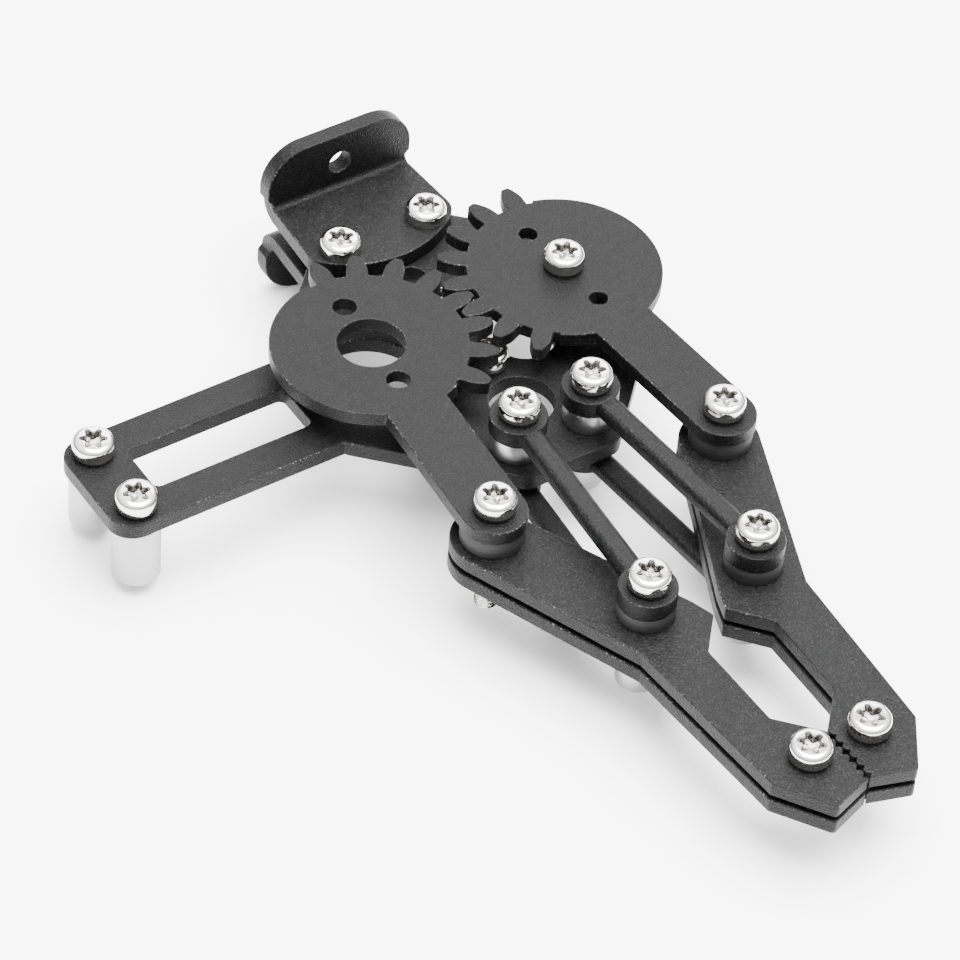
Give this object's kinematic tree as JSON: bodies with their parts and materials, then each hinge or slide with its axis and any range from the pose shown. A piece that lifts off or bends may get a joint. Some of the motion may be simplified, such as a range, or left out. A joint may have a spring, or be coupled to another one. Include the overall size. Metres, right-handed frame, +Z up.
{
  "type": "robot claw gripper",
  "caption": "Robot claw gripper of flat black aluminium plates, its serrated fingers kept parallel by geared arms and equal links, for a standard servo that is not included.",
  "frame": {"origin": "midway between the two wrist bolt holes, on the faces that bolt to the wrist", "axes": "+X to the fingertips, +Y to the driven gear, +Z up, away from the servo"},
  "size_m": [0.117, 0.0797, 0.023],
  "materials": {
    "black_coated_aluminium": "fine matt powder coat",
    "black_spacer": "matt",
    "bare_aluminium": "turned satin",
    "bright_steel": "bright plated"
  },
  "bodies": {
    "base": {"base_plate": "black_coated_aluminium", "wrist_bracket_upper": "black_coated_aluminium", "wrist_bracket_lower": "black_coated_aluminium", "bracket_screws": "bright_steel", "bracket_nuts": "bright_steel", "servo_standoffs": "bare_aluminium", "servo_screws": "bright_steel", "servo_lock_washers": "bright_steel", "gear_pivot_spacer": "bare_aluminium", "gear_pivot_screw": "bright_steel", "gear_pivot_nut": "bright_steel", "link_spacers_upper": "bare_aluminium", "link_spacers_lower": "bare_aluminium", "link_pivot_screws": "bright_steel", "link_sleeve_nuts": "bare_aluminium", "base_lock_washers": "bright_steel"},
    "drive_gear": {"drive_gear_arm": "black_coated_aluminium"},
    "driven_gear": {"driven_gear_arm": "black_coated_aluminium"},
    "link_left_upper": {"link_left_upper": "black_coated_aluminium"},
    "link_left_lower": {"link_left_lower": "black_coated_aluminium"},
    "link_right_upper": {"link_right_upper": "black_coated_aluminium"},
    "link_right_lower": {"link_right_lower": "black_coated_aluminium"},
    "finger_left": {"finger_left_upper_plate": "black_coated_aluminium", "finger_left_lower_plate": "black_coated_aluminium", "finger_left_plate_washers": "bright_steel", "finger_left_pivot_spacers": "black_spacer", "finger_left_pivot_screws": "bright_steel", "finger_left_tip_screw": "bright_steel", "finger_left_lock_washers": "bright_steel", "finger_left_hex_nuts": "bright_steel", "finger_left_sleeve_nut": "bare_aluminium"},
    "finger_right": {"finger_right_upper_plate": "black_coated_aluminium", "finger_right_lower_plate": "black_coated_aluminium", "finger_right_plate_washers": "bright_steel", "finger_right_pivot_spacers": "black_spacer", "finger_right_pivot_screws": "bright_steel", "finger_right_tip_screw": "bright_steel", "finger_right_lock_washers": "bright_steel", "finger_right_hex_nuts": "bright_steel", "finger_right_sleeve_nut": "bare_aluminium"}
  },
  "joints": [
    {"name": "drive_gear_turn", "type": "hinge", "parent": "base", "child": "drive_gear", "pos_m": [0.0318, -0.014, 0.0059], "axis": [0, 0, -1], "range_deg": [0, 55]},
    {"name": "driven_gear_turn", "type": "hinge", "parent": "base", "child": "driven_gear", "pos_m": [0.0318, 0.014, 0.0059], "axis": [0, 0, 1], "range_deg": [0, 55]},
    {"name": "link_left_upper_turn", "type": "hinge", "parent": "base", "child": "link_left_upper", "pos_m": [0.0509, -0.0052, 0.0057], "axis": [0, 0, -1], "range_deg": [0, 55]},
    {"name": "link_left_lower_turn", "type": "hinge", "parent": "base", "child": "link_left_lower", "pos_m": [0.0509, -0.0052, -0.0037], "axis": [0, 0, -1], "range_deg": [0, 55]},
    {"name": "link_right_upper_turn", "type": "hinge", "parent": "base", "child": "link_right_upper", "pos_m": [0.0509, 0.0052, 0.0057], "axis": [0, 0, 1], "range_deg": [0, 55]},
    {"name": "link_right_lower_turn", "type": "hinge", "parent": "base", "child": "link_right_lower", "pos_m": [0.0509, 0.0052, -0.0037], "axis": [0, 0, 1], "range_deg": [0, 55]},
    {"name": "finger_left_turn", "type": "hinge", "parent": "drive_gear", "child": "finger_left", "pos_m": [0.0627, -0.01645, 0.0011], "axis": [0, 0, 1], "range_deg": [0, 55]},
    {"name": "finger_right_turn", "type": "hinge", "parent": "driven_gear", "child": "finger_right", "pos_m": [0.0627, 0.01645, 0.0011], "axis": [0, 0, -1], "range_deg": [0, 55]}
  ],
  "couplings": [
    {"joint": "driven_gear_turn", "follows": "drive_gear_turn", "ratio": 1},
    {"joint": "link_left_upper_turn", "follows": "drive_gear_turn", "ratio": 1},
    {"joint": "link_left_lower_turn", "follows": "drive_gear_turn", "ratio": 1},
    {"joint": "link_right_upper_turn", "follows": "drive_gear_turn", "ratio": 1},
    {"joint": "link_right_lower_turn", "follows": "drive_gear_turn", "ratio": 1},
    {"joint": "finger_left_turn", "follows": "drive_gear_turn", "ratio": 1},
    {"joint": "finger_right_turn", "follows": "drive_gear_turn", "ratio": 1}
  ]
}
